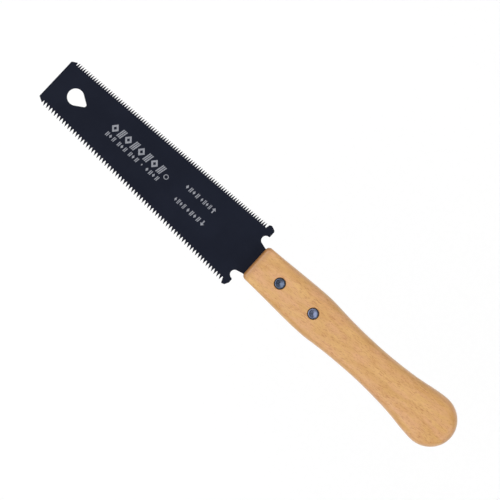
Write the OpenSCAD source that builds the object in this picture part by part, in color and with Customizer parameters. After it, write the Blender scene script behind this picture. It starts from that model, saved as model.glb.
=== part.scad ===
// Small double-edged pull saw.
// A tapered steel blade, toothed along both edges, is riveted into a slot sawn in a shaped
// hardwood handle. Two-part rivets hold it: a hollow post from above and a pinned cap from below.
//
// +X points from the handle to the tip of the blade, +Y to the coarse teeth, +Z up.
// The saw lies on the flat underside of its handle at Z = 0, and X = 0 is half its length.

/* [Blade] */
// Length of the blade from its heel line, which lies just in front of the wood
blade_len = 152.4; // [140:0.1:180]
// Distance from the front of the wood to the heel line
heel_gap = 0.6; // [0:0.1:2]
// Thickness of the steel
blade_t = 0.6; // [0.4:0.1:1]
// Width between the two gullet lines at the heel
plate_heel_w = 36.9; // [35:0.1:37.5]
// Width between the two gullet lines at the tip
plate_tip_w = 26.7; // [24:0.1:30]
// Angle by which the riveted blade leans from the axis of the handle
blade_lean = -0.41; // [-1:0.01:1]
// Sideways offset of the blade at its heel line
blade_shift = 0.38; // [-0.5:0.01:0.5]

/* [Teeth] */
// Distance between the tips of two fine teeth (17 to the inch)
fine_pitch = 1.494; // [1.2:0.001:1.8]
// Height of a fine tooth
fine_h = 2.35; // [1.5:0.05:3]
// Distance between the tips of two coarse teeth (12 to the inch)
coarse_pitch = 2.117; // [1.8:0.001:2.8]
// Height of a coarse tooth
coarse_h = 2.6; // [1.5:0.05:3]

/* [Hanging hole] */
// Distance from the round end's centre to the tip of the blade
hang_from_tip = 15.4; // [12:0.1:25]
// Radius of the round end
hang_r = 4.85; // [3:0.05:6]
// Distance from that centre to the narrow end of the teardrop
hang_reach = 7.9; // [7.7:0.1:11]
// Radius of the narrow end
hang_end_r = 1.2; // [0.4:0.1:1.6]

/* [Tang] */
// Length of the hidden part of the blade, behind its heel line
tang_len = 58; // [54:1:60]
// Width of the blade where it enters the handle
neck_w = 19.2; // [17:0.1:20]
// Width at the hidden end of the tang
tang_end_w = 17; // [15:0.1:19]

/* [Handle] */
// Length of the handle
handle_len = 149; // [140:0.1:170]
// Thickness of the handle
handle_t = 18; // [14:0.5:22]
// Width just behind the front corners
front_w = 23.1; // [22:0.1:26]
// Width of the swelling under the index finger
belly_w = 26.6; // [25:0.1:30]
// Width of the waist
waist_w = 22.6; // [20:0.1:25]
// Width of the butt
butt_w = 31.1; // [28:0.1:36]
// Length of the rounded butt end
butt_round = 16.1; // [12:0.1:20]
// Radius of the front corners, seen from above
front_corner_r = 2.6; // [2.5:0.1:4]
// Radius of the rounding along the sides and the butt
edge_r = 5.5; // [3:0.1:6.5]
// Radius of the rounding around the front end
front_edge_r = 2.2; // [0.5:0.1:2.4]
// Depth of the slot sawn for the blade
slot_depth = 62; // [61:1:70]

/* [Rivets] */
// Distance from the front of the handle to the first rivet
front_rivet = 18.9; // [14:0.1:22]
// Distance between the two rivets
rivet_spacing = 25.3; // [20:0.1:28]
// Diameter of the rivet heads
head_d = 6.6; // [6:0.1:9]
// Thickness of the rivet heads
head_t = 1; // [0.8:0.1:1.5]
// Depth of the heads below the surface of the wood
head_sink = 0.5; // [0:0.05:0.8]
// Depth of the shallow dish in each head
head_dish = 0.2; // [0.05:0.05:0.3]
// Outer diameter of the hollow post
post_d = 4; // [3.5:0.1:5]
// Diameter of the pin pressed into it
pin_d = 2.4; // [1.5:0.1:2.8]

/* [Hidden] */

// The wood begins at X = front_x, and the blade lies half way up the handle.
front_x = (handle_len - heel_gap - blade_len) / 2;
heel_line_x = front_x + heel_gap;
blade_mid_z = handle_t / 2;
// How far a cutting tool runs past the face it cuts
over = 1;

// Blade outline, with X measured forward from the heel line and Y from the blade's own axis.
// A corner is [x, y, radius].
taper_from_x = 8;
teeth_end_x = blade_len - 4.6;
fine_first_x = 8.6;
coarse_first_x = 7.5;
// One tooth as [part of the pitch ahead of its tip, part of its height]. Its flanks flatten out
// towards the gullets on both sides.
fine_tooth = [[-0.19, 0], [-0.09, 0.3], [0, 1], [0.24, 0.86], [0.56, 0.3], [0.69, 0]];
coarse_tooth = [[-0.2, 0], [-0.11, 0.25], [0, 0.98], [0.07, 1], [0.53, 0.25], [0.68, 0]];
// The lobe that ends each row of teeth, from the notch beside the handle to the last gullet
fine_lobe = [[2.35, 15.95, 0.3], [2.4, 20.25, 1.2], [5.6, 21.55, 1], [7.05, 20.95, 0.3],
             [7.6, 18.5, 0.1]];
coarse_lobe = [[2.1, 16.1, 0.3], [2.05, 18.6, 1.5], [3.4, 21.15, 1.2], [5.3, 21.8, 0.6],
               [6.75, 18.5, 0.2]];
// The round notch between each lobe and the handle
notch_x = 2.75;
notch_y = 13.05;
notch_r = 2.65;
notch_start = 80;
notch_end = -90;
notch_steps = 14;
// The clipped corners at the tip of the blade
tip_slant = 0.15;
tip_corner_y = 13.3;
tip_corner_r = 0.4;
clip_len = 3.3;
clip_y = 15.2;
clip_gullet = 0.35;
tang_corner_r = 3;
// Steps around each rounded corner of the blade, and around both ends of the hanging hole
corner_steps = 5;
hang_steps = 48;
hang_end_steps = 12;

// Handle outline: half its width at distances behind the front, as [distance, half width, slope].
belly_at = 45;
flank_at = 59.5;
waist_at = 84.5;
flare_at = 109.5;
flank_share = 0.45;
flare_share = 0.3;
butt_at = handle_len - butt_round;
stations = [[front_corner_r, front_w / 2, 0.03],
            [belly_at, belly_w / 2, 0.01],
            [flank_at, (waist_w + (belly_w - waist_w) * flank_share) / 2, -0.07],
            [waist_at, waist_w / 2, 0],
            [flare_at, (waist_w + (butt_w - waist_w) * flare_share) / 2, 0.085],
            [butt_at, butt_w / 2, 0.02]];
side_steps = 32;
butt_steps = 14;
front_steps = 4;
round_steps = 6;
// Side steps over which the rounding of the front end grows into that of the sides
blend_steps = 6;

// Rivet fits
post_gap = 0.1;
head_gap = 0.15;
bore_r = post_d / 2 + post_gap;
sink_r = head_d / 2 + head_gap;
sink_depth = head_sink + head_t;
post_end_gap = 1.2;
socket_roof = 1.5;
pin_gap = 1.5;
head_rim = 0.35;
head_edge_r = 0.25;
dish_steps = 8;
rivet_distances = [front_rivet, front_rivet + rivet_spacing];
round_fn = 96;

function unit(v) = v / norm(v);
function mix(a, b, t) = a + (b - a) * t;
// A share from 0 to 1, made to start and end gently
function eased(t) = t * t * (3 - 2 * t);

// The points of one corner of an outline, rounded to its radius
function corner(before, at, after) =
    let (p = [at[0], at[1]],
         a = unit([before[0], before[1]] - p),
         b = unit([after[0], after[1]] - p),
         half = acos(a * b) / 2,
         centre = p + unit(a + b) * at[2] / sin(half),
         start = p + a * at[2] / tan(half),
         end = p + b * at[2] / tan(half),
         a0 = atan2(start[1] - centre[1], start[0] - centre[0]),
         a1 = atan2(end[1] - centre[1], end[0] - centre[0]),
         turn = a1 - a0 > 180 ? a1 - a0 - 360 : a1 - a0 < -180 ? a1 - a0 + 360 : a1 - a0)
    [for (i = [0 : corner_steps])
        centre + at[2] * [cos(a0 + turn * i / corner_steps), sin(a0 + turn * i / corner_steps)]];

// An outline of [x, y] points and [x, y, radius] corners, with the corners rounded
function rounded(points) =
    let (n = len(points))
    [for (i = [0 : n - 1])
        for (p = len(points[i]) > 2
                 ? corner(points[(i + n - 1) % n], points[i], points[(i + 1) % n])
                 : [points[i]])
            p];

function reversed(points) = [for (i = [len(points) - 1 : -1 : 0]) points[i]];
function mirrored(points) = [for (p = points) [for (i = [0 : len(p) - 1]) i == 1 ? -p[i] : p[i]]];

// Distance from the blade's axis to the gullets, at x in front of the heel line
function gullet_y(x) =
    mix(plate_heel_w, plate_tip_w, (x - taper_from_x) / (teeth_end_x - taper_from_x)) / 2;

// A row of teeth from the heel to the tip
function teeth(first, pitch, height, shape) =
    [for (tip_x = [first : pitch : teeth_end_x])
        for (p = shape)
            let (x = tip_x + p[0] * pitch)
                [x, gullet_y(x) + p[1] * height]];

// One edge of the blade, from the end of the tang to the tip
function edge(first, pitch, height, shape, lobe, slant) = concat(
    [[-tang_len, tang_end_w / 2, tang_corner_r], [0, neck_w / 2]],
    [for (i = [0 : notch_steps])
        let (a = mix(notch_start, notch_end, i / notch_steps))
            [notch_x + notch_r * cos(a), notch_y - notch_r * sin(a)]],
    lobe,
    teeth(first, pitch, height, shape),
    [[blade_len - clip_len - clip_gullet, gullet_y(teeth_end_x)],
     [blade_len - clip_len, clip_y],
     [blade_len + slant, tip_corner_y, tip_corner_r]]);

function blade_outline() = rounded(concat(
    mirrored(edge(fine_first_x, fine_pitch, fine_h, fine_tooth, fine_lobe, -tip_slant)),
    reversed(edge(coarse_first_x, coarse_pitch, coarse_h, coarse_tooth, coarse_lobe, tip_slant))));

// Smooth curve through the stations: half the handle's width at distance d behind its front
function half_width(d, i = 0) =
    i < len(stations) - 2 && d > stations[i + 1][0] ? half_width(d, i + 1) :
    let (a = stations[i],
         b = stations[i + 1],
         span = b[0] - a[0],
         t = (d - a[0]) / span)
    a[1] * (1 + 2 * t) * pow(1 - t, 2) + b[1] * t * t * (3 - 2 * t)
        + span * (a[2] * t * pow(1 - t, 2) + b[2] * t * t * (t - 1));

// One side of the handle from the front face to the middle of the butt,
// as [distance behind the front, half width, radius of the edge rounding]
function side_outline() = concat(
    [for (i = [0 : front_steps - 1])
        let (a = 90 * i / front_steps)
            [front_corner_r * (1 - cos(a)), half_width(front_corner_r) - front_corner_r * (1 - sin(a)),
             front_edge_r]],
    [for (i = [0 : side_steps - 1])
        let (d = mix(front_corner_r, butt_at, i / side_steps))
            [d, half_width(d), mix(front_edge_r, edge_r, eased(min(1, i / blend_steps)))]],
    [for (i = [0 : butt_steps])
        let (a = 90 * i / butt_steps)
            [butt_at + butt_round * sin(a), butt_w / 2 * cos(a), edge_r]]);

function handle_outline() =
    let (side = side_outline(), last = len(side) - 1)
    concat([for (p = side) [front_x - p[0], p[1], p[2]]],
           [for (i = [last - 1 : -1 : 0]) [front_x - side[i][0], -side[i][1], side[i][2]]]);

// The outline pulled in by the edge rounding, at angle a from the flat face to the side
function ring(outline, a, up) =
    let (n = len(outline))
    [for (i = [0 : n - 1])
        let (p = outline[i],
             before = outline[(i + n - 1) % n],
             after = outline[(i + 1) % n],
             along = unit([after[0] - before[0], after[1] - before[1]]),
             inset = p[2] * (1 - sin(a)),
             drop = p[2] * (1 - cos(a)))
            [p[0] - along[1] * inset, p[1] + along[0] * inset,
             up ? handle_t - drop : drop]];

module plate(points, bottom, top) {
    translate([0, 0, bottom])
        linear_extrude(top - bottom)
            polygon(points);
}

// A teardrop with its narrow end towards the handle
function teardrop() =
    let (between = hang_reach - hang_end_r,
         touch = acos((hang_r - hang_end_r) / between))
    concat([for (i = [0 : hang_steps])
               let (a = mix(touch - 180, 180 - touch, i / hang_steps))
                   hang_r * [cos(a), sin(a)],
            for (i = [0 : hang_end_steps])
               let (a = mix(180 - touch, 180 + touch, i / hang_end_steps))
                   [-between, 0] + hang_end_r * [cos(a), sin(a)]]);

module blade() {
    color([0.12, 0.13, 0.17])
        difference() {
            translate([heel_line_x, blade_shift, blade_mid_z])
                rotate([0, 0, blade_lean])
                    difference() {
                        plate(blade_outline(), -blade_t / 2, blade_t / 2);
                        translate([blade_len - hang_from_tip, 0, 0])
                            plate(teardrop(), -blade_t / 2 - over, blade_t / 2 + over);
                    }
            for (d = rivet_distances)
                translate([front_x - d, 0, blade_mid_z])
                    cylinder(h = blade_t + 2 * over, r = bore_r, center = true, $fn = round_fn);
        }
}

// A flat face over one ring of an outline of n points, laid in strips across the handle
function cap(n) =
    let (last = (n - 1) / 2)
    [for (i = [0 : last - 1])
        i == last - 1 ? [i, last, last + 1] : [i, i + 1, n - 2 - i, n - 1 - i]];

// The solid wood before it is slotted and drilled
module handle_blank() {
    outline = handle_outline();
    n = len(outline);
    rings = concat([for (i = [0 : round_steps]) ring(outline, 90 * i / round_steps, false)],
                   [for (i = [round_steps : -1 : 0]) ring(outline, 90 * i / round_steps, true)]);
    top = (len(rings) - 1) * n;
    polyhedron(
        points = [for (r = rings) for (p = r) p],
        faces = concat(
            cap(n),
            [for (k = [0 : len(rings) - 2])
                for (i = [0 : n - 1])
                    [k * n + i, (k + 1) * n + i, (k + 1) * n + (i + 1) % n, k * n + (i + 1) % n]],
            [for (face = cap(n)) [for (i = reversed(face)) top + i]]));
}

module handle() {
    color([0.84, 0.66, 0.45])
        difference() {
            handle_blank();
            translate([front_x - slot_depth, -butt_w / 2, blade_mid_z - blade_t / 2])
                cube([slot_depth + over, butt_w, blade_t]);
            for (d = rivet_distances)
                translate([front_x - d, 0, 0]) {
                    translate([0, 0, -over])
                        cylinder(h = handle_t + 2 * over, r = bore_r, $fn = round_fn);
                    translate([0, 0, -over])
                        cylinder(h = sink_depth + over, r = sink_r, $fn = round_fn);
                    translate([0, 0, handle_t - sink_depth])
                        cylinder(h = sink_depth + over, r = sink_r, $fn = round_fn);
                }
        }
}

// Outline of a dished head of radius r, lying at z = 0 with its face up
function head_profile(r) = concat(
    [for (i = [0 : dish_steps])
        let (t = i / dish_steps)
            [(r - head_rim) * t, head_t - head_dish * (1 - t * t)]],
    [for (i = [0 : dish_steps])
        let (a = 90 * i / dish_steps)
            [r - head_edge_r * (1 - sin(a)), head_t - head_edge_r * (1 - cos(a))]],
    [[r, 0]]);

// The upper half of a rivet: a dished head with a hollow post
module rivet_post() {
    post_len = handle_t - 2 * sink_depth - post_end_gap;
    translate([0, 0, handle_t - sink_depth])
        rotate_extrude($fn = round_fn)
            polygon(concat(head_profile(head_d / 2),
                           [[post_d / 2, 0], [post_d / 2, -post_len], [pin_d / 2, -post_len],
                            [pin_d / 2, -socket_roof], [0, -socket_roof]]));
}

// The lower half of a rivet: a dished head with a solid pin
module rivet_cap() {
    pin_len = handle_t - 2 * sink_depth - socket_roof - pin_gap;
    translate([0, 0, sink_depth])
        mirror([0, 0, 1])
            rotate_extrude($fn = round_fn)
                polygon(concat(head_profile(head_d / 2),
                               [[pin_d / 2, 0], [pin_d / 2, -pin_len], [0, -pin_len]]));
}

module front_rivet_post() {
    color([0.36, 0.38, 0.42])
        translate([front_x - rivet_distances[0], 0, 0])
            rivet_post();
}

module front_rivet_cap() {
    color([0.36, 0.38, 0.42])
        translate([front_x - rivet_distances[0], 0, 0])
            rivet_cap();
}

module rear_rivet_post() {
    color([0.36, 0.38, 0.42])
        translate([front_x - rivet_distances[1], 0, 0])
            rivet_post();
}

module rear_rivet_cap() {
    color([0.36, 0.38, 0.42])
        translate([front_x - rivet_distances[1], 0, 0])
            rivet_cap();
}

blade();
handle();
front_rivet_post();
front_rivet_cap();
rear_rivet_post();
rear_rivet_cap();
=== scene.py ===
import math

import bmesh
import bpy
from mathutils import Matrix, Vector


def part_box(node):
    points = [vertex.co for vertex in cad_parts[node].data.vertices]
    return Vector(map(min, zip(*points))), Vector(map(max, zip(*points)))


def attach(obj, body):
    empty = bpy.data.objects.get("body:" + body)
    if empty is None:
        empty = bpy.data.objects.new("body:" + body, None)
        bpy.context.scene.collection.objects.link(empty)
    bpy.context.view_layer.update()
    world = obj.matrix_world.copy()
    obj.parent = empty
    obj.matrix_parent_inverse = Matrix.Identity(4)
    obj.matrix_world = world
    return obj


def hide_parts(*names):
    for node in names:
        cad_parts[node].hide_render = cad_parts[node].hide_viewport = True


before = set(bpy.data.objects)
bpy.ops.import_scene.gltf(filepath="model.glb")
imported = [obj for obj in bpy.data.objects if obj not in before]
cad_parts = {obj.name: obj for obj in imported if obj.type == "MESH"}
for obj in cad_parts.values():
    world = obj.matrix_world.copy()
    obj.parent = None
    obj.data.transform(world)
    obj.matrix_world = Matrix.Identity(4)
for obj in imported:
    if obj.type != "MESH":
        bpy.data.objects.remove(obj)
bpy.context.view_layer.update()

# All lengths are in metres, in the CAD model's frame: +X to the blade's tip, +Y to the coarse
# teeth, +Z up, with the handle lying on Z = 0.
MM = 0.001
# Points nearer to each other than this are one point
WELD = 0.001 * MM

ROOT = "root"
BLADE_LOW, BLADE_HIGH = (Vector(corner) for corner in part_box("blade"))
WOOD_LOW, WOOD_HIGH = (Vector(corner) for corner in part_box("handle"))
RIVETS = ("front_rivet", "rear_rivet")

# Blade: its two faces, and the steepest slope and the lengths of a gullet's flat bottom
PLATE_Z = (BLADE_LOW.z, BLADE_HIGH.z)
FLAT_SLOPE = 0.1
FLAT_LENGTHS = (0.1 * MM, 1.2 * MM)
# Gullets lie further than this from the wood
TEETH_START = 7.2 * MM
# Fewest and most points in a tooth's outline, and its least height
TOOTH_POINTS = (3, 8)
LEAST_TOOTH = 1.2 * MM
# Share of each flank's first stretch that stays in the plate, below the grinding
BEVEL_START = 0.12
# How fast the grinding grows from the root of a tooth, and the share of its width that it takes
BEVEL_GROWTH = 2
FINE_BEVEL = 0.5
COARSE_BEVEL = 0.25
# Share of the height that a full bevel takes off the tip, and how far a tip leans sideways
TIP_DROP = 0.12
TOOTH_SET = 0.11 * MM
# Edges of the blade that are steeper than this angle stay crisp
BLADE_CREASE = 25

# Handle: radius of the front corners seen from above, length of the rounded butt, and the radius
# of the edge rounding along the sides and at the front, which blend over a distance
FRONT_CORNER = 2.6 * MM
BUTT_LENGTH = 16.1 * MM
EDGE_ROUND = 5.5 * MM
FRONT_ROUND = 2.2 * MM
ROUND_BLEND = 24.4 * MM
# The widths are probed at this many stations, at a share of the handle's height
STATIONS = 17
PROBE_HEIGHT = 0.35
SIDE_STEPS = 132
BUTT_STEPS = 28
CORNER_STEPS = 6
ROUND_STEPS = 12
SLOT_DEPTH = 62 * MM
# Width of the softened rim around the rivet seats
RIM_FLARE = 0.2 * MM
# How far a probe or a cutter starts outside the wood
CLEAR = 5 * MM
CUTTER_RISE = 1 * MM
LATHE_STEPS = 96
WOOD_CREASE = 32

# Rivets
HOLE_GAP = 0.15 * MM
POST_RADIUS = 2 * MM
PIN_RADIUS = 1.2 * MM
HEAD_THICK = 1 * MM
HEAD_EDGE = 0.7 * MM
DISH_DEPTH = 0.4 * MM
DISH_SHARE = 0.74
SOCKET_ROOF = 1.5 * MM
DISH_STEPS = 10
RIVET_CREASE = 40

# Print, in millimetres: X is measured forward from the blade's heel line, and Y from the handle's
# axis. A group of marks is (x from, x to, number of marks).
HEEL_X = BLADE_HIGH.x - 152.6 * MM
INK_THICK = 0.015 * MM
BAND_X = (71.1, 110.9)
BAND_Y = (-5.4, 0.1)
BAND_CELLS = 8
# Bars in a cell, then shares of the cell's width: the first bar's start, their spacing, width and
# lean. A lozenge is a share of the cell wide, and a share of its own size is open.
BAND_BARS = (3, 0.06, 0.22, 0.14, 0.26)
BAND_LOZENGE = 0.98
BAND_HOLLOW = 0.42
RING_AT = (68.6, -1.45)
RING_RADII = (1.5, 1.05)
RING_STEPS = 32
# The same for the small marks, where a lozenge has its middle, its width and its height as shares
SMALL_BARS = (2, 0.1, 0.38, 0.22, 0.16)
SMALL_LOZENGE = (0.55, 0.64, 0.85)
LINE_Y = (1.25, 4.0)
LINE_GROUPS = ((103.6, 110.9, 3), (95.0, 102.1, 3), (86.3, 93.6, 3), (70.7, 80.7, 4))
LINE_DOT_AT = (83.5, 2.6)
LINE_DOT_SIZE = (0.9, 1.4)
FINE_Y = (-6.9, -4.0)
FINE_GROUPS = ((46.9, 57.0, 4), (37.8, 45.8, 4))
COARSE_Y = (2.6, 5.6)
COARSE_GROUPS = ((48.9, 57.2, 4), (37.8, 48.0, 4))
# Each arrow as (x, tail, tip), and the size of its shaft and head
ARROWS = ((35.9, -3.6, -7.1), (35.8, 2.35, 5.85))
ARROW_SHAFT = 0.36
ARROW_HEAD = (1.3, 1.5)

# Camera: straight above the saw, with the width that it takes in at the blade's upper face
SENSOR = 36
LENS = 240
WIDTH_SEEN = 283 * MM
CAMERA_AT = (4.3 * MM, -2.7 * MM)
CAMERA_TURN = -137.83
CLIP = (0.05, 20)

# Stage. The picture's left is towards +X +Y, and its top is towards +X -Y. Each light is
# (name, direction from the saw, strength), and spreads over an angle in degrees.
FLOOR_DROP = 500 * MM
FLOOR_REACH = 60
LIGHTS = (("key", (0.5, 0.15, 1.0), 1.38),
          ("coarse_side", (-0.1, 0.95, 0.9), 0.7),
          ("fine_side", (-0.1, -0.95, 0.8), 0.4),
          ("butt_side", (-0.95, 0.0, 0.7), 0.73))
LIGHT_SPREAD = 50
# Brightness of the room at the horizon and overhead
ROOM_LIGHT = (0.17, 0.39)


# ---------------------------------------------------------------- small helpers

def mix(a, b, t):
    return a + (b - a) * t


def link(name, mesh, material):
    """A new object of the mesh, shown in the scene, with one material."""
    obj = bpy.data.objects.new(name, mesh)
    bpy.context.scene.collection.objects.link(obj)
    mesh.materials.clear()
    mesh.materials.append(material)
    return obj


def piece(name, mesh, material, node=None):
    """A piece of the saw: it rides on the one body, and may stand for a CAD node."""
    obj = link(name, mesh, material)
    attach(obj, ROOT)
    if node:
        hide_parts(node)
    return obj


def to_mesh(bm, name, sharp=None):
    """The bmesh as a mesh with outward faces. Edges steeper than the sharp angle stay crisp."""
    bmesh.ops.recalc_face_normals(bm, faces=bm.faces)
    mesh = bpy.data.meshes.new(name)
    bm.to_mesh(mesh)
    bm.free()
    if sharp is not None:
        for polygon in mesh.polygons:
            polygon.use_smooth = True
        mesh.set_sharp_from_angle(angle=math.radians(sharp))
    return mesh


# ---------------------------------------------------------------- materials

class Shader:
    """A Principled material whose nodes are added by short calls."""

    def __init__(self, name):
        self.material = bpy.data.materials.new(name)
        self.material.use_nodes = True
        self.tree = self.material.node_tree
        self.bsdf = self.tree.nodes["Principled BSDF"]
        self.place = self.add("ShaderNodeTexCoord").outputs["Object"]

    def add(self, kind, settings=None, **inputs):
        made = self.tree.nodes.new(kind)
        for key, value in (settings or {}).items():
            setattr(made, key, value)
        for key, value in inputs.items():
            self.put(made.inputs[key.replace("_", " ")], value)
        return made

    def put(self, socket, value):
        if isinstance(value, bpy.types.NodeSocket):
            self.tree.links.new(value, socket)
        else:
            socket.default_value = value

    def scaled(self, scale, source=None):
        """Object coordinates times a scale for each axis, given per metre."""
        stretch = self.add("ShaderNodeVectorMath", {"operation": "MULTIPLY"})
        self.put(stretch.inputs[0], source or self.place)
        self.put(stretch.inputs[1], scale)
        return stretch.outputs[0]

    def noise(self, scale, detail=3.0, roughness=0.5, distortion=0.0, source=None):
        made = self.add("ShaderNodeTexNoise", Vector=self.scaled(scale, source), Scale=1.0,
                        Detail=detail, Roughness=roughness, Distortion=distortion)
        return made.outputs["Fac"]

    def span(self, value, low, high, to_low=0.0, to_high=1.0):
        """A value carried from low..high to to_low..to_high, and held at the ends."""
        made = self.add("ShaderNodeMapRange", {"interpolation_type": "SMOOTHSTEP"}, Value=value)
        for key, number in (("From Min", low), ("From Max", high),
                            ("To Min", to_low), ("To Max", to_high)):
            made.inputs[key].default_value = number
        return made.outputs["Result"]

    def math(self, operation, a, b):
        made = self.add("ShaderNodeMath", {"operation": operation})
        self.put(made.inputs[0], a)
        self.put(made.inputs[1], b)
        return made.outputs[0]

    def blend(self, amount, a, b, mode="MIX"):
        """Colour a turned towards colour b by an amount."""
        made = self.add("ShaderNodeMix", {"data_type": "RGBA", "blend_type": mode})
        self.put(made.inputs["Factor"], amount)
        self.put(made.inputs["A"], a)
        self.put(made.inputs["B"], b)
        return made.outputs["Result"]

    def bump(self, height, distance, strength=1.0, normal=None):
        made = self.add("ShaderNodeBump", Height=height, Distance=distance, Strength=strength)
        if normal:
            self.put(made.inputs["Normal"], normal)
        return made.outputs["Normal"]

    def finish(self, **sockets):
        for key, value in sockets.items():
            self.put(self.bsdf.inputs[key.replace("_", " ")], value)
        return self.material


def rgb(red, green, blue):
    """An sRGB colour, 0 to 255, as a linear colour for a shader."""
    def linear(c):
        c /= 255
        return c / 12.92 if c <= 0.04045 else ((c + 0.055) / 1.055) ** 2.4
    return (linear(red), linear(green), linear(blue), 1.0)


def growth_rings(s, place):
    """The dark late wood of growth rings, 0.42 to the millimetre. Their heart lies 46 mm below the
    handle and 14 mm to one side."""
    wander = s.noise((9, 60, 60), detail=2.0, source=place)
    heart = s.add("ShaderNodeVectorMath", {"operation": "MULTIPLY_ADD"})
    s.put(heart.inputs[0], place)
    s.put(heart.inputs[1], (0, 1000, 1000))
    s.put(heart.inputs[2], (0, 14, 46))
    radius = s.add("ShaderNodeVectorMath", {"operation": "LENGTH"})
    s.put(radius.inputs[0], heart.outputs[0])
    phase = s.math("MULTIPLY_ADD", wander, 4.0)
    s.put(phase.node.inputs[2], radius.outputs["Value"])
    ring = s.math("FRACT", s.math("MULTIPLY", phase, 0.42), 0.0)
    return s.math("MULTIPLY", s.span(ring, 0.4, 0.96), s.span(ring, 1.0, 0.965))


def beech():
    """Steamed beech under clear lacquer. Its grain runs a little askew of the handle's axis, and
    its growth rings lie nearly level, so that the rays stand upright."""
    s = Shader("beech")
    askew = s.add("ShaderNodeVectorRotate", {"rotation_type": "Z_AXIS"}, Vector=s.place,
                  Angle=math.radians(-6)).outputs[0]
    late = growth_rings(s, askew)
    # Slow changes of tone and hue along the board, ray flecks and hair-fine pores
    tone = s.noise((26, 130, 90), detail=3.0, roughness=0.6, source=askew)
    hue = s.noise((70, 260, 240), detail=3.0, roughness=0.6, source=askew)
    patch = s.noise((110, 420, 420), detail=4.0, roughness=0.65, source=askew)
    crowd = s.span(s.noise((45, 90, 60), detail=2.0, source=askew), 0.35, 0.65)
    broad = s.span(s.noise((300, 1500, 1300), detail=3.0, roughness=0.65, source=askew), 0.52, 0.68)
    fleck = s.span(s.noise((520, 3000, 1700), detail=2.0, roughness=0.6, source=askew), 0.54, 0.68)
    pores = s.span(s.noise((900, 9000, 9000), detail=2.0, source=askew), 0.56, 0.75)
    colour = s.blend(s.span(tone, 0.3, 0.7), rgb(204, 153, 82), rgb(218, 170, 102))
    colour = s.blend(s.span(hue, 0.38, 0.66), colour, rgb(214, 160, 107))
    colour = s.blend(s.math("MULTIPLY", s.span(patch, 0.46, 0.66), 0.5), colour, rgb(200, 144, 74))
    colour = s.blend(s.math("MULTIPLY", late, 0.16), colour, rgb(186, 130, 73))
    colour = s.blend(s.math("MULTIPLY", s.math("MULTIPLY", broad, crowd), 0.8), colour,
                     rgb(176, 112, 50))
    colour = s.blend(s.math("MULTIPLY", fleck, 0.6), colour, rgb(170, 106, 44))
    colour = s.blend(s.math("MULTIPLY", pores, 0.2), colour, rgb(140, 90, 50))
    # The end grain takes up the lacquer and is darker, at the butt by less. At the front the
    # darkening
    # # also runs 5 mm onto the top, past the rounding: there it is painted shade, standing in for a
    # wider rounding's shade
    along = s.add("ShaderNodeSeparateXYZ", Vector=s.place).outputs["X"]
    end_grain_and_shade = s.math("ADD", s.span(along, WOOD_HIGH.x - 5 * MM, WOOD_HIGH.x),
                  s.span(along, WOOD_LOW.x + 3 * MM, WOOD_LOW.x, 0.0, 0.45))
    colour = s.blend(s.math("MULTIPLY", end_grain_and_shade, 0.85), colour, rgb(162, 108, 54))
    grain = s.bump(s.noise((160, 2400, 2400), detail=4.0, source=askew), 0.05 * MM, 0.35)
    grain = s.bump(pores, -0.03 * MM, 0.5, grain)
    return s.finish(Base_Color=colour, Roughness=s.span(tone, 0.25, 0.75, 0.44, 0.54),
                    Normal=grain, Coat_Weight=0.8, Coat_Roughness=0.3)


def blade_coating():
    """Satin blue-black coating on sheet steel."""
    s = Shader("blade_coating")
    cloud = s.noise((60, 60, 60), detail=3.0)
    rolled = s.noise((90, 3500, 3500), detail=3.0)
    grit = s.noise((9000, 9000, 9000), detail=2.0)
    colour = s.blend(s.span(cloud, 0.3, 0.7), rgb(14, 19, 34), rgb(18, 23, 38))
    rough = s.math("ADD", s.span(rolled, 0.3, 0.7, 0.0, 0.08), s.span(grit, 0.3, 0.7, 0.4, 0.46))
    relief = s.bump(grit, 0.01 * MM, 0.25, s.bump(rolled, 0.01 * MM, 0.2))
    return s.finish(Base_Color=colour, Roughness=rough, Normal=relief, Specular_IOR_Level=0.09)


def rivet_steel(name, dark, light):
    """Blued steel, a little cloudy and finely scuffed."""
    s = Shader(name)
    cloud = s.noise((350, 350, 350), detail=3.0)
    scuff = s.noise((6000, 900, 6000), detail=3.0)
    colour = s.blend(s.span(cloud, 0.3, 0.7), dark, light)
    rough = s.math("ADD", s.span(cloud, 0.3, 0.7, 0.22, 0.28), s.span(scuff, 0.4, 0.7, 0.0, 0.06))
    return s.finish(Base_Color=colour, Metallic=1.0, Roughness=rough,
                    Normal=s.bump(scuff, 0.004 * MM, 0.15))


def blade_print():
    """Pale grey screen print, a little thin where the coating shows through."""
    s = Shader("blade_print")
    worn = s.noise((2200, 2200, 2200), detail=3.0, roughness=0.6)
    colour = s.blend(s.span(worn, 0.3, 0.75), rgb(154, 156, 163), rgb(118, 120, 130))
    return s.finish(Base_Color=colour, Roughness=s.span(worn, 0.3, 0.7, 0.55, 0.68),
                    Specular_IOR_Level=0.3)


def paper():
    """Pale studio floor."""
    s = Shader("floor_paper")
    fibre = s.noise((300, 300, 300), detail=3.0)
    colour = s.blend(fibre, rgb(247, 247, 247), rgb(250, 250, 250))
    return s.finish(Base_Color=colour, Roughness=0.9, Specular_IOR_Level=0.1)


# ---------------------------------------------------------------- blade

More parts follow.
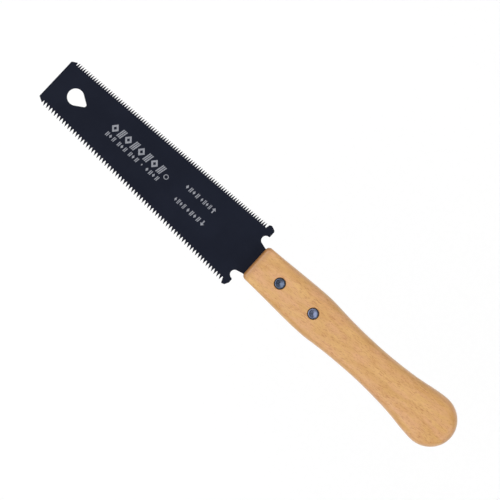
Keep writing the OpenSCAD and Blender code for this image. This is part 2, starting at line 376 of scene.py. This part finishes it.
def flat_outlines(node):
    """The outlines of a CAD plate's upper face as lists of (x, y) vectors, the one with the most
    points first. Each starts at its point furthest towards -X, the same on every run."""
    bm = bmesh.new()
    bm.from_mesh(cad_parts[node].data)
    bmesh.ops.remove_doubles(bm, verts=bm.verts, dist=WELD)
    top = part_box(node)[1][2] - WELD
    faces = [f for f in bm.faces if min(v.co.z for v in f.verts) > top]
    inside = set(faces)
    following = {corner.vert: corner.link_loop_next.vert
                 for f in faces for corner in f.loops
                 if any(g not in inside for g in corner.edge.link_faces)}
    outlines = []
    while following:
        start = next(iter(following))
        outline = []
        at = start
        while at in following:
            outline.append(at.co.xy.copy())
            at = following.pop(at)
        first = outline.index(min(outline, key=tuple))
        outlines.append(outline[first:] + outline[:first])
    bm.free()
    return sorted(outlines, key=lambda outline: (-len(outline), outline[0].x))


def is_gullet(a, b):
    """Whether the edge from a to b is the short flat bottom of a gullet."""
    step = b - a
    return (FLAT_LENGTHS[0] < step.length < FLAT_LENGTHS[1]
            and abs(step.y) < FLAT_SLOPE * abs(step.x)
            and a.x > WOOD_HIGH.x + TEETH_START)


def find_teeth(outline):
    """The runs of outline points from one gullet to the next, each one tooth."""
    count = len(outline)
    gullets = [i for i in range(count) if is_gullet(outline[i], outline[(i + 1) % count])]
    teeth = []
    for a, b in zip(gullets, gullets[1:]):
        run = list(range(a + 1, b + 1))
        if not TOOTH_POINTS[0] <= len(run) <= TOOTH_POINTS[1]:
            continue
        if tooth_height([outline[i] for i in run]) > LEAST_TOOTH:
            teeth.append(run)
    return teeth


def tooth_height(points):
    """How far a run of points stands out from the line between its ends."""
    along = (points[-1] - points[0]).normalized()
    return max(abs((p - points[0]).cross(along)) for p in points)


def shaped_tooth(points, side, bevel):
    """One tooth's points, with heights for its two faces: the face on the given side is ground
    back along both flanks, and the whole tooth leans the other way."""
    start, end = points[0], points[-1]
    along = (end - start).normalized()
    out = Vector((along.y, -along.x))
    tall = tooth_height(points)
    tip = max(points, key=lambda p: (p - start).dot(out))
    middle, tip_at = (end - start).length / 2, (tip - start).dot(along)
    rooted = [start.lerp(points[1], BEVEL_START), *points[1:-1], end.lerp(points[-2], BEVEL_START)]
    rows = []
    for p in rooted:
        high = (p - start).dot(out)
        centre = mix(middle, tip_at, high / tall)
        wide = (p - start).dot(along) - centre
        ground_away = bevel * min(1, BEVEL_GROWTH * high / tall)
        ground = start + along * (centre + wide * (1 - ground_away))
        ground += out * high * (1 - TIP_DROP * bevel)
        lean = -side * TOOTH_SET * high / tall
        upper, lower = (ground, p) if side > 0 else (p, ground)
        rows.append((upper.to_3d() + Vector((0, 0, PLATE_Z[1] + lean)),
                     lower.to_3d() + Vector((0, 0, PLATE_Z[0] + lean))))
    return rows


def add_teeth(bm, outer, teeth, body):
    """Every tooth on its own, ground and set, on the points of the plate's body at its roots."""
    for number, run in enumerate(teeth):
        side = 1 if number % 2 else -1
        bevel = COARSE_BEVEL if outer[run[0]].y > 0 else FINE_BEVEL
        rows = shaped_tooth([outer[i] for i in run], side, bevel)
        chain = [[bm.verts.new(p) for p in row] for row in rows]
        chain = [body[run[0]], *chain, body[run[-1]]]
        for here, there in zip(chain, chain[1:]):
            bm.faces.new((here[0], here[1], there[1], there[0]))
        bm.faces.new([pair[0] for pair in chain])
        bm.faces.new([pair[1] for pair in reversed(chain)])


def blade_mesh():
    """The toothed plate: a flat body with its holes, and the teeth around it."""
    outlines = flat_outlines("blade")
    outer = outlines[0]
    teeth = find_teeth(outer)
    inside = {i for run in teeth for i in run[1:-1]}
    bm = bmesh.new()

    def upright(point):
        return [bm.verts.new((point.x, point.y, z)) for z in reversed(PLATE_Z)]

    body = {i: upright(p) for i, p in enumerate(outer) if i not in inside}
    rings = [list(body.values())] + [[upright(p) for p in hole] for hole in outlines[1:]]
    tooth_roots = {run[0] for run in teeth}
    is_root = [i in tooth_roots for i in body]

    rim = []
    for ring in rings:
        for i, (here, there) in enumerate(zip(ring, ring[1:] + ring[:1])):
            rim.append(bm.edges.new((here[0], there[0])))
            if ring is not rings[0] or not is_root[i]:
                bm.faces.new((here[0], here[1], there[1], there[0]))
    lower = {pair[0]: pair[1] for ring in rings for pair in ring}
    filled = bmesh.ops.triangle_fill(bm, edges=rim, use_beauty=True, normal=(0, 0, 1))
    for face in [f for f in filled["geom"] if isinstance(f, bmesh.types.BMFace)]:
        bm.faces.new([lower[v] for v in reversed(face.verts)])
    add_teeth(bm, outer, teeth, body)
    return to_mesh(bm, "blade_plate", BLADE_CREASE)


# ---------------------------------------------------------------- handle

def probe_half_width(x):
    """Half the CAD handle's width at x."""
    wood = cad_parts["handle"]
    start = Vector((x, WOOD_HIGH.y + CLEAR, WOOD_HIGH.z * PROBE_HEIGHT))
    hit, where = wood.ray_cast(start, Vector((0, -1, 0)))[:2]
    if not hit:
        raise ValueError(f"the handle has no side at x = {x}")
    return where.y


def smooth_through(values, at):
    """A smooth curve through evenly spaced values, with at counted in steps. It ends level."""
    last = len(values) - 1
    i = min(int(at), last - 1)
    t = at - i
    a, b = values[i], values[i + 1]
    before = values[i - 1] if i > 0 else 2 * a - b
    after = values[i + 2] if i + 2 <= last else a
    slope_a, slope_b = (b - before) / 2, (after - a) / 2
    return (a * (1 + 2 * t) * (1 - t) ** 2 + b * t * t * (3 - 2 * t)
            + slope_a * t * (1 - t) ** 2 - slope_b * t * t * (1 - t))


def handle_outline():
    """The handle seen from above, as (x, y, edge rounding), once around from its front corner."""
    front, butt = WOOD_HIGH.x, WOOD_LOW.x + BUTT_LENGTH
    side_from = front - FRONT_CORNER
    widths = [probe_half_width(mix(side_from, butt, i / STATIONS)) for i in range(STATIONS + 1)]
    side = []
    for i in range(CORNER_STEPS):
        a = math.pi / 2 * i / CORNER_STEPS
        side.append((front - FRONT_CORNER * (1 - math.cos(a)),
                     widths[0] - FRONT_CORNER * (1 - math.sin(a)), FRONT_ROUND))
    for i in range(SIDE_STEPS):
        t = i / SIDE_STEPS
        x = mix(side_from, butt, t)
        grown = min(1, (side_from - x) / ROUND_BLEND)
        grown = grown * grown * (3 - 2 * grown)
        side.append((x, smooth_through(widths, t * STATIONS), mix(FRONT_ROUND, EDGE_ROUND, grown)))
    for i in range(BUTT_STEPS + 1):
        a = math.pi / 2 * i / BUTT_STEPS
        side.append((butt - BUTT_LENGTH * math.sin(a), widths[-1] * math.cos(a), EDGE_ROUND))
    return side + [(x, -y, r) for x, y, r in reversed(side[:-1])]


def inset_ring(outline, angle, top):
    """The outline pulled in by its edge rounding, at angle 0 on the flat and at a right angle on
    the side."""
    ring = []
    count = len(outline)
    for i, (x, y, r) in enumerate(outline):
        before, after = outline[i - 1], outline[(i + 1) % count]
        along = Vector((after[0] - before[0], after[1] - before[1])).normalized()
        inset = r * (1 - math.sin(angle))
        drop = r * (1 - math.cos(angle))
        ring.append((x - along.y * inset, y + along.x * inset, WOOD_HIGH.z - drop if top else drop))
    return ring


def handle_blank():
    outline = handle_outline()
    angles = [math.pi / 2 * i / ROUND_STEPS for i in range(ROUND_STEPS + 1)]
    rings = [inset_ring(outline, a, False) for a in angles]
    rings += [inset_ring(outline, a, True) for a in reversed(angles)]
    bm = bmesh.new()
    rows = [[bm.verts.new(p) for p in ring] for ring in rings]
    count = len(outline)
    for low, high in zip(rows, rows[1:]):
        for i in range(count):
            j = (i + 1) % count
            bm.faces.new((low[i], low[j], high[j], high[i]))
    last = (count - 1) // 2
    for row in (rows[0], rows[-1]):
        for i in range(last - 1):
            bm.faces.new((row[i], row[i + 1], row[count - 2 - i], row[count - 1 - i]))
        bm.faces.new((row[last - 1], row[last], row[last + 1]))
    return to_mesh(bm, "handle_blank")


def lathe(profile, centre, name, sharp=None):
    """A closed solid turned about the vertical line through centre, from (radius, z) points that
    start and end on that line."""
    bm = bmesh.new()
    rows = []
    for radius, z in profile:
        if radius < WELD:
            rows.append([bm.verts.new((centre.x, centre.y, z))] * LATHE_STEPS)
            continue
        row = []
        for k in range(LATHE_STEPS):
            a = 2 * math.pi * k / LATHE_STEPS
            row.append(bm.verts.new((centre.x + radius * math.cos(a),
                                     centre.y + radius * math.sin(a), z)))
        rows.append(row)
    for upper, lower in zip(rows, rows[1:]):
        for k in range(LATHE_STEPS):
            j = (k + 1) % LATHE_STEPS
            corners = []
            for v in (upper[k], lower[k], lower[j], upper[j]):
                if v not in corners:
                    corners.append(v)
            bm.faces.new(corners)
    return to_mesh(bm, name, sharp)


def rivet_centre(rivet):
    low, high = (Vector(corner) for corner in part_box(rivet + "_post"))
    return (low + high) / 2


def sink_cutter(rivet, top):
    """The hole for one rivet head, with a softened rim."""
    low, high = (Vector(corner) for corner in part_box(rivet + ("_post" if top else "_cap")))
    radius = (high.x - low.x) / 2 + HOLE_GAP
    face, out = (WOOD_HIGH.z, 1) if top else (WOOD_LOW.z, -1)
    floor = high.z - HEAD_THICK if top else low.z + HEAD_THICK
    bore = POST_RADIUS + HOLE_GAP / 2
    above = face + out * CUTTER_RISE
    profile = [(0, above), (radius + RIM_FLARE + CUTTER_RISE, above), (radius + RIM_FLARE, face),
               (radius, face - out * RIM_FLARE), (radius, floor), (bore, floor),
               (bore, WOOD_HIGH.z / 2), (0, WOOD_HIGH.z / 2)]
    return lathe(profile, rivet_centre(rivet), "cutter")


def slot_cutter():
    """The sawn slot for the tang, open at the front and along both sides."""
    bm = bmesh.new()
    wide = WOOD_HIGH.y + CLEAR
    end_grain_and_shade = (WOOD_HIGH.x - SLOT_DEPTH, WOOD_HIGH.x + CLEAR)
    corners = [bm.verts.new((x, y, z)) for x in end_grain_and_shade for y in (-wide, wide) for z in PLATE_Z]
    for face in ((0, 1, 3, 2), (4, 6, 7, 5), (0, 4, 5, 1), (2, 3, 7, 6), (0, 2, 6, 4), (1, 5, 7, 3)):
        bm.faces.new([corners[i] for i in face])
    return to_mesh(bm, "cutter")


def carved(blank, cutters):
    """The blank mesh less every cutter mesh, as one new mesh."""
    work = bpy.data.objects.new("carving", blank)
    bpy.context.scene.collection.objects.link(work)
    tools = []
    for mesh in cutters:
        tool = bpy.data.objects.new("cutter", mesh)
        bpy.context.scene.collection.objects.link(tool)
        cut = work.modifiers.new("cut", "BOOLEAN")
        cut.operation = "DIFFERENCE"
        cut.solver = "EXACT"
        cut.object = tool
        tools.append(tool)
    result = bpy.data.meshes.new_from_object(work.evaluated_get(
        bpy.context.evaluated_depsgraph_get()))
    for obj in (*tools, work):
        bpy.data.objects.remove(obj)
    for polygon in result.polygons:
        polygon.use_smooth = True
    result.set_sharp_from_angle(angle=math.radians(WOOD_CREASE))
    return result


# ---------------------------------------------------------------- rivets

def head_points(radius, face, out):
    """A dished head from its middle to its underside edge. out is +1 for a head that faces up."""
    points = []
    for i in range(DISH_STEPS + 1):
        t = i / DISH_STEPS
        points.append((radius * DISH_SHARE * t, face - out * DISH_DEPTH * (1 - t * t) ** 2))
    for i in range(1, DISH_STEPS + 1):
        a = math.pi / 2 * i / DISH_STEPS
        points.append((mix(radius * DISH_SHARE, radius, math.sin(a)),
                       face - out * HEAD_EDGE * (1 - math.cos(a))))
    points.append((radius, face - out * HEAD_THICK))
    return points


def rivet_half(rivet, top, material):
    node = rivet + ("_post" if top else "_cap")
    low, high = (Vector(corner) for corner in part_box(node))
    radius = (high.x - low.x) / 2
    if top:
        profile = head_points(radius, high.z, 1)
        roof = high.z - HEAD_THICK - SOCKET_ROOF
        profile += [(POST_RADIUS, high.z - HEAD_THICK), (POST_RADIUS, low.z), (PIN_RADIUS, low.z),
                    (PIN_RADIUS, roof), (0, roof)]
    else:
        profile = head_points(radius, low.z, -1)
        profile += [(PIN_RADIUS, low.z + HEAD_THICK), (PIN_RADIUS, high.z), (0, high.z)]
    mesh = lathe(profile, rivet_centre(rivet), node + "_turned", RIVET_CREASE)
    return piece(node + "_turned", mesh, material, node)


# ---------------------------------------------------------------- print

def printed(bm, outer, inner=None):
    """A thin closed shape on top of the blade inside an outline of (x, y) points in millimetres.
    With an inner outline of as many points, it is a band between the two."""
    rows = []
    for outline in (outer, inner) if inner else (outer,):
        for z in (PLATE_Z[1] + INK_THICK, PLATE_Z[1]):
            rows.append([bm.verts.new((HEEL_X + x * MM, y * MM, z)) for x, y in outline])
    count = len(outer)
    pairs = [(rows[0], rows[1])]
    if inner:
        pairs += [(rows[2], rows[0]), (rows[3], rows[2]), (rows[1], rows[3])]
    else:
        bm.faces.new(rows[0])
        bm.faces.new(rows[1][::-1])
    for a, b in pairs:
        for i in range(count):
            j = (i + 1) % count
            bm.faces.new((a[i], a[j], b[j], b[i]))


def bar(bm, x, y_low, y_high, width, lean=0.0):
    """An upright or leaning bar that starts at x."""
    printed(bm, [(x, y_low), (x + width, y_low), (x + width + lean, y_high), (x + lean, y_high)])


def lozenge(bm, x, y, wide, high, hollow=0.0):
    """A lozenge around (x, y). A hollow one keeps that share of its middle open."""
    outer = [(x - wide / 2, y), (x, y - high / 2), (x + wide / 2, y), (x, y + high / 2)]
    inner = [(mix(x, px, hollow), mix(y, py, hollow)) for px, py in outer] if hollow else None
    printed(bm, outer, inner)


def round_points(x, y, radius):
    return [(x + radius * math.cos(2 * math.pi * k / RING_STEPS),
             y + radius * math.sin(2 * math.pi * k / RING_STEPS)) for k in range(RING_STEPS)]


def bars(bm, x, pitch, y_low, y_high, shares):
    """The leaning bars of one cell that starts at x and is one pitch wide."""
    count, start, spacing, width, lean = shares
    for i in range(count):
        bar(bm, x + pitch * (start + spacing * i), y_low, y_high, pitch * width, pitch * lean)


def frieze(bm, x_from, x_to, y_low, y_high, cells):
    """A bold ornamental band: groups of leaning bars and hollow lozenges in turn."""
    pitch = (x_to - x_from) / cells
    middle, high = (y_low + y_high) / 2, y_high - y_low
    for k in range(cells):
        x = x_from + k * pitch
        if k % 2:
            lozenge(bm, x + pitch / 2, middle, pitch * BAND_LOZENGE, high, BAND_HOLLOW)
        else:
            bars(bm, x, pitch, y_low, y_high, BAND_BARS)


def small_marks(bm, groups, y_low, y_high):
    """Groups of small index marks: leaning bars and a standing lozenge in turn."""
    at, wide, tall = SMALL_LOZENGE
    middle, high = (y_low + y_high) / 2, y_high - y_low
    for x_from, x_to, cells in groups:
        pitch = (x_to - x_from) / cells
        for k in range(cells):
            x = x_from + k * pitch
            if k % 2:
                lozenge(bm, x + pitch * at, middle, pitch * wide, high * tall)
            else:
                bars(bm, x, pitch, y_low, y_high, SMALL_BARS)


def arrow(bm, x, tail, tip):
    """An arrow that points along Y."""
    wide, long = ARROW_HEAD
    neck = tip - long if tip > tail else tip + long
    right = [(x + ARROW_SHAFT, tail), (x + ARROW_SHAFT, neck), (x + wide, neck)]
    left = [(x - wide, neck), (x - ARROW_SHAFT, neck)]
    printed(bm, [(x - ARROW_SHAFT, tail), *right, (x, tip), *left])


def print_mesh():
    """The printed band with its small ring, the line of marks beside it, and for each row of
    teeth a line of marks with an arrow towards that row."""
    bm = bmesh.new()
    frieze(bm, *BAND_X, *BAND_Y, BAND_CELLS)
    printed(bm, *(round_points(*RING_AT, radius) for radius in RING_RADII))
    small_marks(bm, LINE_GROUPS, *LINE_Y)
    lozenge(bm, *LINE_DOT_AT, *LINE_DOT_SIZE)
    small_marks(bm, FINE_GROUPS, *FINE_Y)
    small_marks(bm, COARSE_GROUPS, *COARSE_Y)
    for place in ARROWS:
        arrow(bm, *place)
    return to_mesh(bm, "blade_marks")


# ---------------------------------------------------------------- stage

def make_camera():
    """Straight down on the saw, with its blade towards the upper left of the picture."""
    data = bpy.data.cameras.new("camera")
    data.sensor_width = SENSOR
    data.lens = LENS
    data.clip_start, data.clip_end = CLIP
    camera = bpy.data.objects.new("camera", data)
    camera.location = (*CAMERA_AT, PLATE_Z[1] + WIDTH_SEEN * LENS / SENSOR)
    camera.rotation_euler = (0, 0, math.radians(CAMERA_TURN))
    bpy.context.scene.collection.objects.link(camera)
    bpy.context.scene.camera = camera


def softbox(name, direction, strength):
    """A broad, even light that reaches the whole floor from a direction."""
    data = bpy.data.lights.new(name, "SUN")
    data.energy = strength
    data.angle = math.radians(LIGHT_SPREAD)
    light = bpy.data.objects.new(name, data)
    light.rotation_euler = Vector(direction).to_track_quat("Z", "Y").to_euler()
    bpy.context.scene.collection.objects.link(light)


def make_world():
    """A plain room, darker towards the horizon. Where the camera sees past the floor, it is white."""
    world = bpy.data.worlds.new("studio")
    world.use_nodes = True
    tree = world.node_tree
    background = tree.nodes["Background"]
    place = tree.nodes.new("ShaderNodeTexCoord")
    height = tree.nodes.new("ShaderNodeSeparateXYZ")
    room = tree.nodes.new("ShaderNodeMapRange")
    room.inputs["To Min"].default_value = ROOM_LIGHT[0]
    room.inputs["To Max"].default_value = ROOM_LIGHT[1]
    rays = tree.nodes.new("ShaderNodeLightPath")
    seen = tree.nodes.new("ShaderNodeMix")
    seen.inputs["B"].default_value = 1.0
    tree.links.new(place.outputs["Generated"], height.inputs[0])
    tree.links.new(height.outputs["Z"], room.inputs["Value"])
    tree.links.new(rays.outputs["Is Camera Ray"], seen.inputs["Factor"])
    tree.links.new(room.outputs["Result"], seen.inputs["A"])
    tree.links.new(seen.outputs["Result"], background.inputs["Strength"])
    background.inputs["Color"].default_value = (1, 1, 1, 1)
    bpy.context.scene.world = world


def make_stage():
    bm = bmesh.new()
    bmesh.ops.create_grid(bm, x_segments=1, y_segments=1, size=FLOOR_REACH)
    for v in bm.verts:
        v.co.z = -FLOOR_DROP
    link("floor", to_mesh(bm, "floor"), paper())
    make_world()
    bpy.context.scene.view_settings.view_transform = "Standard"
    for light in LIGHTS:
        softbox(*light)


make_camera()
make_stage()

wood = beech()
coating = blade_coating()
# Painted shade: the front rivet's steel is coloured darker than the rear one's, though both are the
# same steel.
steels = (rivet_steel("front_rivet_steel_painted_shade", rgb(62, 72, 90), rgb(86, 96, 114)),
          rivet_steel("rear_rivet_steel", rgb(86, 94, 115), rgb(112, 119, 144)))
ink = blade_print()

piece("blade_plate", blade_mesh(), coating, "blade")
piece("blade_marks", print_mesh(), ink)

cutters = [slot_cutter()]
cutters += [sink_cutter(rivet, top) for rivet in RIVETS for top in (True, False)]
piece("handle_wood", carved(handle_blank(), cutters), wood, "handle")

for rivet_name, steel in zip(RIVETS, steels):
    rivet_half(rivet_name, True, steel)
    rivet_half(rivet_name, False, steel)
